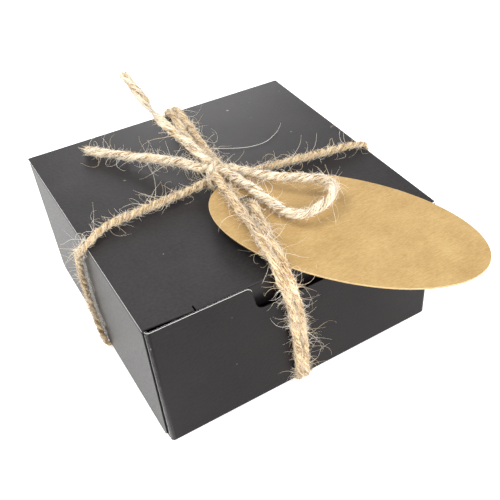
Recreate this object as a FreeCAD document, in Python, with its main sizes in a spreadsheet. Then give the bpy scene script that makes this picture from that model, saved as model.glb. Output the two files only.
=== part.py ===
import FreeCAD, Part
import math
import os

import Sketcher

# A folded paperboard gift box, tied both ways with jute twine, with an oval card tag.
# Lengths are in millimetres. X runs along the front wall, Y from the front wall to the
# back wall, Z up. The origin is on the table under the middle of the box.

document = FreeCAD.newDocument("gift_box")
sheet = document.addObject("Spreadsheet::Sheet", "Sizes")

DRIVING_SIZES = [
    ("box_width", 100.0, "outside of the left wall to outside of the right wall"),
    ("box_depth", 100.0, "outside of the front wall to outside of the back wall"),
    ("box_height", 48.0, "underside of the base to the top of the closed lid"),
    ("board", 0.5, "thickness of the paperboard"),
    ("base_lift", 2.0, "height of the flattened twine that the box stands on"),
    ("fold_radius", 1.2, "outer radius of the folded upright corners"),
    ("fold_show_top", 1.6, "how far the side walls stop short of the corners, at the top"),
    ("fold_show_foot", 2.4, "the same at the foot, so that the gap widens downwards"),
    ("corner_gap", 0.125, "air between the base's cut corners and the folded corners"),
    ("rim_drop", 0.2, "front wall's top edge below the top of the lid"),
    ("flap_gap", 0.1, "air between the lid and the dust flaps under it"),
    ("notch_width", 33.0, "width of the thumb notch at its floor"),
    ("notch_flare", 1.6, "how much further out the notch opens on each side"),
    ("notch_depth", 9.6, "depth of the thumb notch below the front wall's top edge"),
    ("notch_fillet", 3.0, "radius of the notch's lower corners"),
    ("notch_shoulder", 2.0, "radius of the notch's upper shoulders"),
    ("tab_length", 13.0, "length of a glue tab along the side wall"),
    ("tab_taper", 3.0, "how much a glue tab narrows at its free end, above and below"),
    ("tab_clearance", 0.5, "air above and below a glue tab"),
    ("lid_gap", 0.3, "air between the front wall and the lid's front edge"),
    ("slit_length", 15.5, "length of each slit at the ends of the tuck crease"),
    ("slit_opening", 1.0, "how much further back the lid's front corners stand"),
    ("nick_depth", 2.0, "depth of the short cut at the inner end of each slit"),
    ("nick_width", 0.5, "width of that cut"),
    ("tuck_depth", 16.0, "length of the tuck flap below its crease"),
    ("tuck_tilt", 10.0, "degrees that the tuck flap leans inwards"),
    ("tuck_corner", 9.0, "radius of the tuck flap's free corners"),
    ("tuck_taper", 2.0, "how much the tuck flap narrows on each side towards its free edge"),
    ("crease_relief", 0.15, "how far below its crease the tuck flap's board starts"),
    ("tuck_side_gap", 2.5, "side wall's outside to the tuck flap's shoulder"),
    ("dust_depth", 34.0, "length of a dust flap inwards from its crease"),
    ("dust_front_gap", 3.5, "front wall's outside to the dust flap's crease end"),
    ("dust_front_taper", 5.0, "how far the dust flap's front side slants back"),
    ("dust_rear_gap", 3.0, "back wall's outside to the dust flap's crease end"),
    ("dust_corner", 5.0, "radius of the dust flap's free corners"),
    ("twine", 3.0, "diameter of the two-ply jute twine"),
    ("clearance", 0.3, "air between pieces that move apart"),
    ("edge_stand_off", 0.8, "air between the box and the twine where it turns an edge"),
    ("flat_width", 3.6, "width of the twine where the box presses it flat"),
    ("along_middle", -1.53, "middle of the two flat runs along the base, along X"),
    ("along_gap", 0.18, "air between those two runs"),
    ("knot_x", -4.0, "middle of the knot, along X"),
    ("knot_y", -1.5, "middle of the knot, along Y"),
    ("knot_length", 13.0, "knot along X"),
    ("knot_width", 11.0, "knot along Y"),
    ("knot_height", 7.8, "knot along Z"),
    ("tag_length", 87.2, "long axis of the oval tag"),
    ("tag_width", 47.2, "short axis of the oval tag"),
    ("tag_thickness", 0.5, "thickness of the kraft card"),
    ("tag_hole", 6.0, "diameter of the punched hole"),
    ("tag_hole_inset", 11.5, "tag's near end to the middle of the hole"),
    ("tag_hole_x", -2.1, "middle of the hole, along X"),
    ("tag_hole_y", -20.0, "middle of the hole, along Y"),
    ("tag_rise", 3.9, "lid to the tag's underside at the hole"),
    ("tag_dip", 3.0, "degrees that the tag falls towards its far end"),
    ("tag_turn", -52.0, "degrees from X to the tag's long axis, seen from above"),
]


class Size:
    """A number together with the spreadsheet formula that it comes from."""

    def __init__(self, value, formula):
        self.value = float(value)
        self.formula = formula

    def __add__(self, other):
        other = as_size(other)
        return Size(self.value + other.value, f"({self.formula} + {other.formula})")

    def __sub__(self, other):
        other = as_size(other)
        return Size(self.value - other.value, f"({self.formula} - {other.formula})")

    def __mul__(self, other):
        other = as_size(other)
        return Size(self.value * other.value, f"({self.formula} * {other.formula})")

    def __truediv__(self, other):
        other = as_size(other)
        return Size(self.value / other.value, f"({self.formula} / {other.formula})")

    def __neg__(self):
        return Size(-self.value, f"(-1 * {self.formula})")


def as_size(number):
    if isinstance(number, Size):
        return number
    return Size(number, f"({float(number)})")


def fill_sheet():
    """Write the driving sizes into the spreadsheet and return them by name."""
    named = {}
    for row, (alias, value, meaning) in enumerate(DRIVING_SIZES, start=1):
        sheet.set(f"A{row}", alias)
        sheet.set(f"B{row}", str(value))
        sheet.set(f"C{row}", meaning)
        sheet.setAlias(f"B{row}", alias)
        named[alias] = Size(value, f"Sizes.{alias}")
    document.recompute()
    return named


S = fill_sheet()

half_width = S["box_width"] / 2
half_depth = S["box_depth"] / 2
board = S["board"]
base_top = S["base_lift"] + board
lid_top = S["base_lift"] + S["box_height"]
lid_under = lid_top - board
dust_top = lid_under - S["flap_gap"]
dust_under = dust_top - board
front_rim = lid_top - S["rim_drop"]
inner_half_width = half_width - board
inner_half_depth = half_depth - board
lid_front = inner_half_depth - S["lid_gap"]
twine_radius = S["twine"] / 2
zero = as_size(0)

FLAT = FreeCAD.Rotation()
FACING_FRONT = FreeCAD.Rotation(FreeCAD.Vector(1, 0, 0), 90)
FACING_SIDE = FreeCAD.Rotation(FreeCAD.Vector(1, 1, 1), 120)
QUARTER_TURN = 90.0

nodes = []


def node(feature, label):
    """Name a finished piece and put it on the list of pieces to write."""
    feature.Label = label
    nodes.append(feature)
    return feature


def bind(feature, **properties):
    """Tie properties of a feature to formulas over the spreadsheet."""
    for name, size in properties.items():
        feature.setExpression(name, as_size(size).formula)


def place(feature, x=zero, y=zero, z=zero, rotation=FLAT):
    """Give a feature its Placement, with its position tied to the spreadsheet."""
    spot = FreeCAD.Vector(as_size(x).value, as_size(y).value, as_size(z).value)
    feature.Placement = FreeCAD.Placement(spot, rotation)
    for letter, size in zip("xyz", (x, y, z)):
        feature.setExpression(f"Placement.Base.{letter}", as_size(size).formula)


def plane_of(body, role):
    return next(f for f in body.Origin.OriginFeatures if f.Role == role)


def draw_outline(sketch, outline):
    """Draw a closed polygon, with each corner's two distances tied to the sheet."""
    corners = [FreeCAD.Vector(u.value, v.value, 0) for u, v in outline]
    count = len(corners)
    for i in range(count):
        sketch.addGeometry(Part.LineSegment(corners[i], corners[(i + 1) % count]))
    for i in range(count):
        sketch.addConstraint(Sketcher.Constraint("Coincident", i, 2, (i + 1) % count, 1))
    for i, (u, v) in enumerate(outline):
        for kind, size in (("DistanceX", u), ("DistanceY", v)):
            index = sketch.addConstraint(Sketcher.Constraint(kind, -1, 1, i, 1, size.value))
            sketch.setExpression(f"Constraints[{index}]", size.formula)


def upright_edges(shape, corners):
    """Names of the edges through the board that stand at the given corners."""
    names = []
    for number, edge in enumerate(shape.Edges, start=1):
        ends = [vertex.Point for vertex in edge.Vertexes]
        if len(ends) < 2 or abs(ends[0].z - ends[1].z) < board.value / 2:
            continue
        for u, v in corners:
            if math.hypot(ends[0].x - u.value, ends[0].y - v.value) < 1e-4:
                names.append(f"Edge{number}")
    return names


def cut_from_board(name, outline, thickness=board, rounded=()):
    """A flat piece cut to an outline, as it is in the unfolded sheet.

    rounded lists (radius, corners) pairs for the corners that are cut round.
    """
    body = document.addObject("PartDesign::Body", name)
    sketch = body.newObject("Sketcher::SketchObject", f"{name}_outline")
    sketch.AttachmentSupport = (plane_of(body, "XY_Plane"), [""])
    sketch.MapMode = "FlatFace"
    draw_outline(sketch, outline)
    pad = body.newObject("PartDesign::Pad", f"{name}_board")
    pad.Profile = sketch
    bind(pad, Length=thickness)
    document.recompute()
    for index, (radius, corners) in enumerate(rounded):
        base = body.Tip
        fillet = body.newObject("PartDesign::Fillet", f"{name}_round_{index}")
        fillet.Base = (base, upright_edges(base.Shape, corners))
        bind(fillet, Radius=radius)
        document.recompute()
    return body


def mirrored(outline):
    return [(-u, v) for u, v in reversed(outline)]


# ---- the box: base, walls and glue tabs ------------------------------------------------


def make_base():
    """The base lies between the walls; its corners clear the folded corners."""
    w = inner_half_width
    d = inner_half_depth
    cut = S["fold_radius"] + S["corner_gap"]
    outline = [
        (-w + cut, -d), (w - cut, -d), (w, -d + cut), (w, d - cut),
        (w - cut, d), (-w + cut, d), (-w, d - cut), (-w, -d + cut),
    ]
    base = node(cut_from_board("base", outline), "base_panel")
    place(base, z=S["base_lift"])


def folded_corner(name, x, y, height, turn):
    """The quarter-round fold at one end of the front or back wall."""
    outer = document.addObject("Part::Cylinder", f"{name}_outer")
    inner = document.addObject("Part::Cylinder", f"{name}_inner")
    bind(outer, Radius=S["fold_radius"], Height=height)
    bind(inner, Radius=S["fold_radius"] - board, Height=height)
    for cylinder in (outer, inner):
        cylinder.Angle = QUARTER_TURN
        rotation = FreeCAD.Rotation(FreeCAD.Vector(0, 0, 1), turn)
        place(cylinder, x, y, S["base_lift"], rotation)
    fold = document.addObject("Part::Cut", name)
    fold.Base = outer
    fold.Tool = inner
    return fold


def make_end_wall(label, plate, side, height):
    """Join a flat wall to its two folded corners. side is -1 in front and 1 behind."""
    x = inner_half_width - S["fold_radius"]
    y = (half_depth - S["fold_radius"]) * side
    first_turn = 180.0 if side < 0 else 90.0
    second_turn = 270.0 if side < 0 else 0.0
    left = folded_corner(f"{label}_left_fold", -x, y, height, first_turn)
    right = folded_corner(f"{label}_right_fold", x, y, height, second_turn)
    wall = document.addObject("Part::MultiFuse", label)
    wall.Shapes = [plate, left, right]
    node(wall, label)


def make_front_wall():
    """The front wall, with a thumb notch in the middle of its top edge."""
    w = inner_half_width - S["fold_radius"]
    foot = S["base_lift"]
    floor = front_rim - S["notch_depth"]
    low = S["notch_width"] / 2
    high = low + S["notch_flare"]
    outline = [
        (-w, foot), (w, foot), (w, front_rim), (high, front_rim),
        (low, floor), (-low, floor), (-high, front_rim), (-w, front_rim),
    ]
    rounded = [
        (S["notch_fillet"], [(low, floor), (-low, floor)]),
        (S["notch_shoulder"], [(high, front_rim), (-high, front_rim)]),
    ]
    plate = cut_from_board("front_plate", outline, rounded=rounded)
    place(plate, y=-inner_half_depth, rotation=FACING_FRONT)
    make_end_wall("front_wall", plate, -1, front_rim - foot)


def make_back_wall():
    """The back wall, which carries the lid on its top edge."""
    w = inner_half_width - S["fold_radius"]
    foot = S["base_lift"]
    outline = [(-w, foot), (w, foot), (w, lid_under), (-w, lid_under)]
    plate = cut_from_board("back_plate", outline)
    place(plate, y=half_depth, rotation=FACING_FRONT)
    make_end_wall("back_wall", plate, 1, lid_under - foot)


def make_side_wall(label, x):
    """A side wall covers the glue tabs; the relieved foot shows the corner folds."""
    top = half_depth - S["fold_show_top"]
    foot = half_depth - S["fold_show_foot"]
    relief = S["fold_show_top"]
    low = S["base_lift"]
    outline = [
        (-foot + relief, low), (foot - relief, low), (foot, low + relief),
        (top, dust_under), (-top, dust_under), (-foot, low + relief),
    ]
    corners = [(foot, low + relief), (-foot, low + relief)]
    wall = cut_from_board(label, outline, rounded=[(S["fold_radius"], corners)])
    place(node(wall, label), x=x, rotation=FACING_SIDE)


def make_glue_tab(label, x, side):
    """A glue tab runs on from a folded corner, inside the side wall."""
    root = (half_depth - S["fold_radius"]) * side
    tip = (half_depth - S["fold_radius"] - S["tab_length"]) * side
    low = base_top + S["tab_clearance"]
    high = dust_under - S["tab_clearance"]
    outline = [
        (root, low), (tip, low + S["tab_taper"]),
        (tip, high - S["tab_taper"]), (root, high),
    ]
    tab = cut_from_board(label, outline if side < 0 else outline[::-1])
    place(node(tab, label), x=x, rotation=FACING_SIDE)


# ---- the lid, its tuck flap and the dust flaps -----------------------------------------


def make_lid():
    """The lid reaches over the side walls and stops just inside the front wall."""
    w = half_width
    front = -lid_front
    corner = front + S["slit_opening"]
    slit = half_width - S["slit_length"]
    nick = slit + S["nick_width"]
    nick_end = front + S["nick_depth"]
    right_side = [
        (slit, front), (slit, nick_end), (nick, nick_end), (nick, front),
        (w, corner), (w, half_depth),
    ]
    outline = right_side + mirrored(right_side)
    lid = node(cut_from_board("lid", outline), "lid_panel")
    place(lid, z=lid_under)


def make_tuck_flap():
    """The tuck flap hangs from the lid's front crease and leans inwards."""
    crease = half_width - S["slit_length"] - S["nick_width"]
    start = -S["crease_relief"]
    shoulder = -S["slit_opening"]
    wide = half_width - S["tuck_side_gap"]
    free = wide - S["tuck_taper"]
    end = -S["tuck_depth"]
    outline = [
        (-free, end), (free, end), (wide, shoulder), (crease, shoulder),
        (crease, start), (-crease, start), (-crease, shoulder), (-wide, shoulder),
    ]
    rounded = [(S["tuck_corner"], [(free, end), (-free, end)])]
    flap = cut_from_board("tuck", outline, rounded=rounded)
    tilt = math.radians(S["tuck_tilt"].value)
    rotation = FreeCAD.Rotation(FreeCAD.Vector(1, 0, 0), 90 + S["tuck_tilt"].value)
    y = -lid_front + board * math.cos(tilt)
    z = lid_under + board * math.sin(tilt)
    place(node(flap, "tuck_flap"), y=y, z=z, rotation=rotation)


def make_dust_flap(label, side):
    """A dust flap folds in from a side wall; it is mitred towards the lid's hinge."""
    crease = -half_width
    tip = crease + S["dust_depth"]
    front = -half_depth + S["dust_front_gap"]
    rear = half_depth - S["dust_rear_gap"]
    near = (tip, front + S["dust_front_taper"])
    far = (tip, rear - S["dust_depth"])
    outline = [(crease, front), near, far, (crease, rear)]
    corners = [near, far]
    if side > 0:
        outline = mirrored(outline)
        corners = mirrored(corners)
    flap = cut_from_board(label, outline, rounded=[(S["dust_corner"], corners)])
    place(node(flap, label), z=dust_under)


# ---- the flattened twine that the box stands on ----------------------------------------


def flat_run(name, length_x, length_y, x, y, height, z=zero):
    run = document.addObject("Part::Box", name)
    bind(run, Length=length_x, Width=length_y, Height=height)
    place(run, x, y, z)
    return run


def make_base_twine():
    """One run across and two along, each pressed to half its height where they cross."""
    reach = twine_radius * 2
    across_length = S["box_width"] + reach * 2
    along_length = S["box_depth"] + reach * 2
    flat = S["flat_width"]
    half_height = S["base_lift"] / 2
    along_x = [
        S["along_middle"] - S["along_gap"] / 2 - flat,
        S["along_middle"] + S["along_gap"] / 2,
    ]
    across = flat_run("across_run", across_length, flat, -(across_length / 2),
                      -(flat / 2), S["base_lift"])
    span = flat * 2 + S["along_gap"]
    notch = flat_run("across_notch", span, flat, along_x[0], -(flat / 2), half_height,
                     half_height)
    lower = document.addObject("Part::Cut", "base_twine_across")
    lower.Base = across
    lower.Tool = notch
    node(lower, "base_twine_across")
    for label, x in zip(("base_twine_along_left", "base_twine_along_right"), along_x):
        along = flat_run(f"{label}_run", flat, along_length, x, -(along_length / 2),
                         S["base_lift"])
        under = flat_run(f"{label}_notch", flat, flat, x, -(flat / 2), half_height)
        upper = document.addObject("Part::Cut", label)
        upper.Base = along
        upper.Tool = under
        node(upper, label)


# ---- the twine that lifts off: wraps, knot, bow loop and tails -------------------------

SHARE_OF_RUN = 0.45
VOLUME_TOLERANCE = 0.02


def rounded_path(points):
    """Straight runs joined by tangent arcs, each as large as its two runs allow."""
    corners = [FreeCAD.Vector(*point) for point in points]
    edges = []
    radii = []
    start = corners[0]
    for before, corner, after in zip(corners, corners[1:], corners[2:]):
        back = before - corner
        ahead = after - corner
        half_turn = (math.pi - back.getAngle(ahead)) / 2
        setback = SHARE_OF_RUN * min(back.Length, ahead.Length)
        radius = setback / math.tan(half_turn)
        back.normalize()
        ahead.normalize()
        inward = back + ahead
        inward.normalize()
        enter = corner + back * setback
        leave = corner + ahead * setback
        middle = corner + inward * (radius / math.cos(half_turn) - radius)
        edges.append(Part.LineSegment(start, enter).toShape())
        edges.append(Part.Arc(enter, middle, leave).toShape())
        radii.append(radius)
        start = leave
    edges.append(Part.LineSegment(start, corners[-1]).toShape())
    return Part.Wire(edges), radii


def make_twine(label, points):
    """A length of twine: a round tube along a route. Prints its length and bends."""
    path, radii = rounded_path(points)
    radius = twine_radius.value
    first = path.Edges[0]
    direction = first.tangentAt(first.FirstParameter)
    circle = Part.Circle(FreeCAD.Vector(*points[0]), direction, radius)
    section = Part.Wire([circle.toShape()])
    solid = path.makePipeShell([section], True, False)
    expected = math.pi * radius ** 2 * path.Length
    if abs(solid.Volume - expected) > VOLUME_TOLERANCE * expected:
        raise ValueError(f"{label}: volume {solid.Volume:.1f}, expected {expected:.1f}")
    feature = document.addObject("Part::Feature", label)
    feature.Shape = solid
    feature.Placement = FreeCAD.Placement()
    node(feature, label)
    print(f"{label}: length {path.Length:.1f}, tightest radius {min(radii):.1f}, "
          f"radii {[round(r, 1) for r in radii]}")


def twine_routes():
    """Routes of the twine's middle line, chosen by hand, tied to the box's edges."""
    top = lid_top.value
    foot = S["base_lift"].value + S["clearance"].value * 2
    near = S["clearance"].value
    out = twine_radius.value + S["edge_stand_off"].value
    left = -half_width.value
    right = half_width.value
    front = -half_depth.value
    back = half_depth.value
    return {
        "wrap_left": [
            (-7.6, -1.6, top + 2.4), (-18.0, -2.2, top + 2.1), (-33.5, -4.2, top + 2.0),
            (left - near, -7.4, top + out), (left - out, -7.2, top + near),
            (left - out, -2.0, top - 12.0), (left - out, 1.4, top - 30.0),
            (left - out, 0.0, foot),
        ],
        "wrap_right": [
            (0.6, -3.0, top + 2.4), (10.0, -3.5, top + 2.1), (22.0, -5.2, top + 2.0),
            (36.0, -7.6, top + 2.0), (right + near, -9.6, top + out),
            (right + out, -9.8, top + near), (right + out, -7.6, top - 13.0),
            (right + out, -3.2, top - 30.0), (right + out, 0.0, foot),
        ],
        "wrap_back_left": [
            (-1.8, 1.8, top + 2.3), (-0.7, 13.0, top + 2.1), (0.4, 30.0, top + 2.0),
            (1.6, back + near, top + out), (1.6, back + out, top + near),
            (0.5, back + out, top - 13.0), (-1.2, back + out, top - 30.0),
            (-3.4, back + out, foot),
        ],
        "wrap_back_right": [
            (1.2, 1.2, top + 2.3), (2.7, 12.0, top + 2.1), (3.9, 29.0, top + 2.0),
            (5.3, back + near, top + out), (5.3, back + out, top + near),
            (4.4, back + out, top - 13.0), (2.7, back + out, top - 30.0),
            (0.4, back + out, foot),
        ],
        "wrap_front_left": [
            (-5.0, -4.8, top + 6.9), (-5.0, -12.0, top + 7.2), (-6.8, -22.0, top + 6.6),
            (-8.4, -33.0, top + 6.2), (-10.3, -43.6, top + 5.9),
            (-11.9, front - 0.2, top + 4.4), (-12.2, front - out - 0.1, top + 0.8),
            (-8.0, front - out, top - 9.0), (-5.6, front - out, top - 24.0),
            (-3.8, front - out, foot),
        ],
        "wrap_front_right": [
            (-3.0, -4.6, top + 1.9), (-2.0, -11.0, top + 1.9), (-2.1, -17.9, top + 1.9),
            (-2.2, -22.0, top + 6.5), (-3.4, -29.5, top + 6.3), (-5.4, -40.0, top + 6.3),
            (-8.4, front - 0.2, top + 5.9), (-9.0, front - out - 0.2, top + 1.4),
            (-4.6, front - out, top - 9.0), (-1.6, front - out, top - 24.0),
            (0.2, front - out, foot),
        ],
        "bow_loop": [
            (1.0, -3.2, top + 6.3), (4.4, -11.0, top + 7.5), (8.6, -18.2, top + 8.3),
            (14.6, -23.4, top + 8.6), (20.0, -27.0, top + 8.5), (22.4, -31.6, top + 8.1),
            (19.4, -36.0, top + 7.6), (13.4, -38.2, top + 7.2), (7.2, -38.6, top + 7.0),
            (3.2, -35.0, top + 7.1), (1.8, -28.4, top + 7.5), (0.6, -20.4, top + 7.9),
            (-0.5, -12.0, top + 7.5), (-2.0, -4.4, top + 7.0),
        ],
        "tail_long": [
            (-3.2, 2.0, top + 6.5), (-4.2, 11.0, top + 7.6), (-6.4, 19.4, top + 9.9),
            (-9.2, 26.0, top + 13.2), (-11.0, 30.2, top + 17.4),
            (-12.4, 34.4, top + 21.6), (-13.8, 39.6, top + 25.2),
        ],
        "tail_short": [
            (-6.4, 1.2, top + 5.9), (-9.6, 9.2, top + 5.5), (-14.6, 16.4, top + 4.6),
            (-19.2, 23.0, top + 3.6), (-24.4, 30.8, top + 2.7),
            (-31.8, 39.8, top + 2.3),
        ],
    }


def make_knot():
    """The knot is a flattened ball that every strand of the twine runs into."""
    knot = document.addObject("Part::Ellipsoid", "knot")
    bind(knot, Radius1=S["knot_height"] / 2, Radius2=S["knot_length"] / 2,
         Radius3=S["knot_width"] / 2)
    knot.Angle1 = -90
    knot.Angle2 = 90
    knot.Angle3 = 360
    place(node(knot, "twine_knot"), x=S["knot_x"], y=S["knot_y"],
          z=lid_top + S["clearance"] + S["knot_height"] / 2)


# ---- the tag ---------------------------------------------------------------------------


def make_tag():
    """An oval card with a round hole, threaded on one of the front strands."""
    oval = document.addObject("Part::Ellipse", "tag_oval")
    bind(oval, MajorRadius=S["tag_length"] / 2, MinorRadius=S["tag_width"] / 2)
    card = document.addObject("Part::Extrusion", "tag_card")
    card.Base = oval
    card.Dir = FreeCAD.Vector(0, 0, 1)
    card.DirMode = "Custom"
    card.Solid = True
    bind(card, LengthFwd=S["tag_thickness"])
    punch = document.addObject("Part::Cylinder", "tag_punch")
    bind(punch, Radius=S["tag_hole"] / 2, Height=S["tag_thickness"])
    place(punch, x=S["tag_hole_inset"] - S["tag_length"] / 2)
    tag = document.addObject("Part::Cut", "oval_tag")
    tag.Base = card
    tag.Tool = punch
    node(tag, "oval_tag")
    # The hole's middle stays on the strand; the tag turns and dips about it.
    hole = FreeCAD.Vector(S["tag_hole_x"].value, S["tag_hole_y"].value,
                          (lid_top + S["tag_rise"]).value)
    turn = FreeCAD.Rotation(FreeCAD.Vector(0, 0, 1), S["tag_turn"].value)
    dip = FreeCAD.Rotation(FreeCAD.Vector(0, 1, 0), S["tag_dip"].value)
    rotation = turn.multiply(dip)
    inset = (S["tag_hole_inset"] - S["tag_length"] / 2).value
    tag.Placement = FreeCAD.Placement(hole - rotation.multVec(FreeCAD.Vector(inset, 0, 0)),
                                      rotation)


# ---- build, check and write ------------------------------------------------------------


def check_and_write():
    document.recompute()
    for feature in document.Objects:
        if {"Invalid", "Error"} & set(feature.State):
            raise ValueError(f"{feature.Name} failed: {feature.State}")
    os.makedirs("parts", exist_ok=True)
    for piece in nodes:
        shape = piece.Shape
        if shape.isNull() or not shape.isValid() or len(shape.Solids) != 1:
            raise ValueError(f"{piece.Label} is not one valid solid")
        shape.exportStep(os.path.join("parts", f"{piece.Label}.step"))
    print(f"{len(nodes)} pieces written")


make_base()
make_front_wall()
make_back_wall()
make_side_wall("left_wall", -half_width)
make_side_wall("right_wall", inner_half_width)
make_glue_tab("front_left_glue_tab", -inner_half_width, -1)
make_glue_tab("front_right_glue_tab", inner_half_width - board, -1)
make_glue_tab("back_left_glue_tab", -inner_half_width, 1)
make_glue_tab("back_right_glue_tab", inner_half_width - board, 1)
make_lid()
make_tuck_flap()
make_dust_flap("left_dust_flap", -1)
make_dust_flap("right_dust_flap", 1)
make_base_twine()
for strand, route in twine_routes().items():
    make_twine(strand, route)
make_knot()
make_tag()
check_and_write()
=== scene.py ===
import math

import bmesh
import bpy
import numpy as np
from mathutils import Matrix, Vector


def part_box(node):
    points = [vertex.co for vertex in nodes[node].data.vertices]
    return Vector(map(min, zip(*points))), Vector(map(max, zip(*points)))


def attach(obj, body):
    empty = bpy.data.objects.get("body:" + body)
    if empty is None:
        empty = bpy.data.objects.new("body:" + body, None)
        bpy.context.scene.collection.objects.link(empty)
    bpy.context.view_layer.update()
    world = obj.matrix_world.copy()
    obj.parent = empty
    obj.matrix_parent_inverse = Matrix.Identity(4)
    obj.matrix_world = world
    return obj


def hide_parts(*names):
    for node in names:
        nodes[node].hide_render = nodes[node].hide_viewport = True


# The looks of a tied paperboard gift box. Everything is in metres, in the CAD's frame.

MM = 0.001
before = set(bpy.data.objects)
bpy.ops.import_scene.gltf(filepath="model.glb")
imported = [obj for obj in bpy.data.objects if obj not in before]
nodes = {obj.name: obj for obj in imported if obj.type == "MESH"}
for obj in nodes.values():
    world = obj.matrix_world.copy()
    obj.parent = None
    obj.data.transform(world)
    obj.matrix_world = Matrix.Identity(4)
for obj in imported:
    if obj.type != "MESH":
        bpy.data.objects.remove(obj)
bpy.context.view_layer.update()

# The closed box: its lid's top, its half width and half depth, and its underside, which
# stands on the flattened twine.
LID_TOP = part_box("lid_panel")[1].z
HALF_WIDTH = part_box("lid_panel")[1].x
HALF_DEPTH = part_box("lid_panel")[1].y
BOX_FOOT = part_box("base_panel")[0].z

# ---- materials -------------------------------------------------------------------------

# Colours are linear. Noise scales are in cycles for each metre of the object.
BLACK = (0.0, 0.0, 0.0)
WHITE = (1.0, 1.0, 1.0)
LINT = (0.20, 0.195, 0.19)
RUBBED_BOARD = (0.16, 0.157, 0.155)

# How far from the box's middle its corners start to be rubbed, and are rubbed fully.
RUB_START = 0.0488
RUB_END = 0.0497


class Shader:
    """A node material under construction: its tree, its Principled shader and helpers."""

    def __init__(self, name, roughness, **sockets):
        self.material = bpy.data.materials.new(name)
        self.material.use_nodes = True
        self.tree = self.material.node_tree
        self.surface = self.tree.nodes["Principled BSDF"]
        self.surface.inputs["Roughness"].default_value = roughness
        for socket, value in sockets.items():
            self.surface.inputs[socket.replace("_", " ")].default_value = value

    def add(self, kind, inputs=None, **settings):
        node = self.tree.nodes.new("ShaderNode" + kind)
        for key, value in settings.items():
            setattr(node, key, value)
        for key, value in (inputs or {}).items():
            if isinstance(value, bpy.types.NodeSocket):
                self.tree.links.new(value, node.inputs[key])
            else:
                node.inputs[key].default_value = value
        return node

    def coordinates(self, scale=(1, 1, 1), attribute=None):
        """Object coordinates, or a stored attribute, stretched by scale."""
        if attribute:
            source = self.add("Attribute", attribute_name=attribute).outputs["Vector"]
        else:
            source = self.add("TexCoord").outputs["Object"]
        return self.add("Mapping", {"Vector": source, "Scale": scale}).outputs["Vector"]

    def noise(self, vector, scale, detail=4.0, roughness=0.55):
        inputs = {"Vector": vector, "Scale": scale, "Detail": detail}
        inputs["Roughness"] = roughness
        return self.add("TexNoise", inputs).outputs["Fac"]

    def ramp(self, factor, *stops):
        """A colour ramp through (position, colour) stops."""
        node = self.add("ValToRGB", {"Fac": factor})
        elements = node.color_ramp.elements
        while len(elements) < len(stops):
            elements.new(1.0)
        for element, (position, colour) in zip(elements, stops):
            element.position = position
            element.color = (*colour, 1.0)
        return node.outputs["Color"]

    def mix(self, factor, a, b):
        """Colour a where the factor is 0 and b where it is 1. Each may be a socket."""
        node = self.add("Mix", data_type="RGBA")
        for socket, value in ((0, factor), (6, a), (7, b)):
            if isinstance(value, bpy.types.NodeSocket):
                self.tree.links.new(value, node.inputs[socket])
            elif isinstance(value, (int, float)):
                node.inputs[socket].default_value = value
            else:
                node.inputs[socket].default_value = (*value, 1.0)
        return node.outputs[2]

    def near_outside(self, place, axis):
        """0 inside the box along an axis, rising to 1 at its outer faces."""
        parts = self.add("SeparateXYZ", {"Vector": place}).outputs
        size = self.add("Math", {0: parts[axis]}, operation="ABSOLUTE").outputs[0]
        span = {"Value": size, "From Min": RUB_START, "From Max": RUB_END}
        return self.add("MapRange", span).outputs["Result"]

    def link(self, output, socket):
        self.tree.links.new(output, self.surface.inputs[socket])

    def bump(self, height, distance, strength=1.0):
        inputs = {"Height": height, "Distance": distance, "Strength": strength}
        self.link(self.add("Bump", inputs).outputs["Normal"], "Normal")


def grey(value):
    return (value, value, value)


def board_material(name, dark, light, rough, specular):
    """Matt black-dyed paperboard: fine mottling, lint specks and rubbed upright corners."""
    shader = Shader(name, 0.4, Specular_IOR_Level=specular)
    place = shader.coordinates()
    mottle = shader.noise(place, 900.0, 5.0, 0.7)
    cloud = shader.noise(place, 60.0, 3.0)
    mixed = shader.mix(0.35, mottle, cloud)
    colour = shader.ramp(mixed, (0.38, dark), (0.62, light))
    lint = shader.noise(place, 420.0, 1.0, 0.3)
    specks = shader.ramp(lint, (0.785, BLACK), (0.81, WHITE))
    colour = shader.mix(specks, colour, LINT)
    outside = {axis: shader.near_outside(place, axis) for axis in (0, 1)}
    corners = shader.add("Math", outside, operation="MULTIPLY").outputs[0]
    scuffs = shader.noise(shader.coordinates((1, 1, 0.35)), 1500.0, 4.0, 0.7)
    scuffs = shader.ramp(scuffs, (0.40, BLACK), (0.60, grey(0.75)))
    worn = shader.mix(corners, BLACK, scuffs)
    shader.link(shader.mix(worn, colour, RUBBED_BOARD), "Base Color")
    sheen = shader.ramp(mottle, (0.3, grey(rough - 0.05)), (0.7, grey(rough + 0.05)))
    shader.link(sheen, "Roughness")
    shader.bump(mottle, 0.00010, 0.7)
    return shader.material


def edge_material():
    """The cut edge of the board: pale grey, partly the undyed grey core and partly a
    painted highlight along the edge.
    """
    shader = Shader("board_cut_edge_and_painted_glint", 0.8)
    fibres = shader.noise(shader.coordinates((1, 1, 8)), 1500.0, 3.0)
    colour = shader.ramp(fibres, (0.3, (0.55, 0.54, 0.53)), (0.7, (0.90, 0.89, 0.88)))
    shader.link(colour, "Base Color")
    shader.bump(fibres, 0.00003)
    return shader.material


def jute_material(name, shade, middle, pale):
    """Jute fibres: streaks that run along each ply, from golden brown to pale straw.

    The "lay" attribute holds a place among the fibres, not one in space.
    """
    shader = Shader(name, 0.85, Sheen_Weight=0.25, Sheen_Roughness=0.6)
    streak = shader.noise(shader.coordinates(attribute="lay"), 1.0, 4.0, 0.65)
    patch = shader.noise(shader.coordinates((0.15, 0.15, 0.35), "lay"), 1.0, 2.0)
    tone = shader.mix(0.35, streak, patch)
    colour = shader.ramp(tone, (0.41, shade), (0.48, middle), (0.57, pale))
    shader.link(colour, "Base Color")
    shader.bump(streak, 0.00015, 0.8)
    return shader.material


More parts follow.
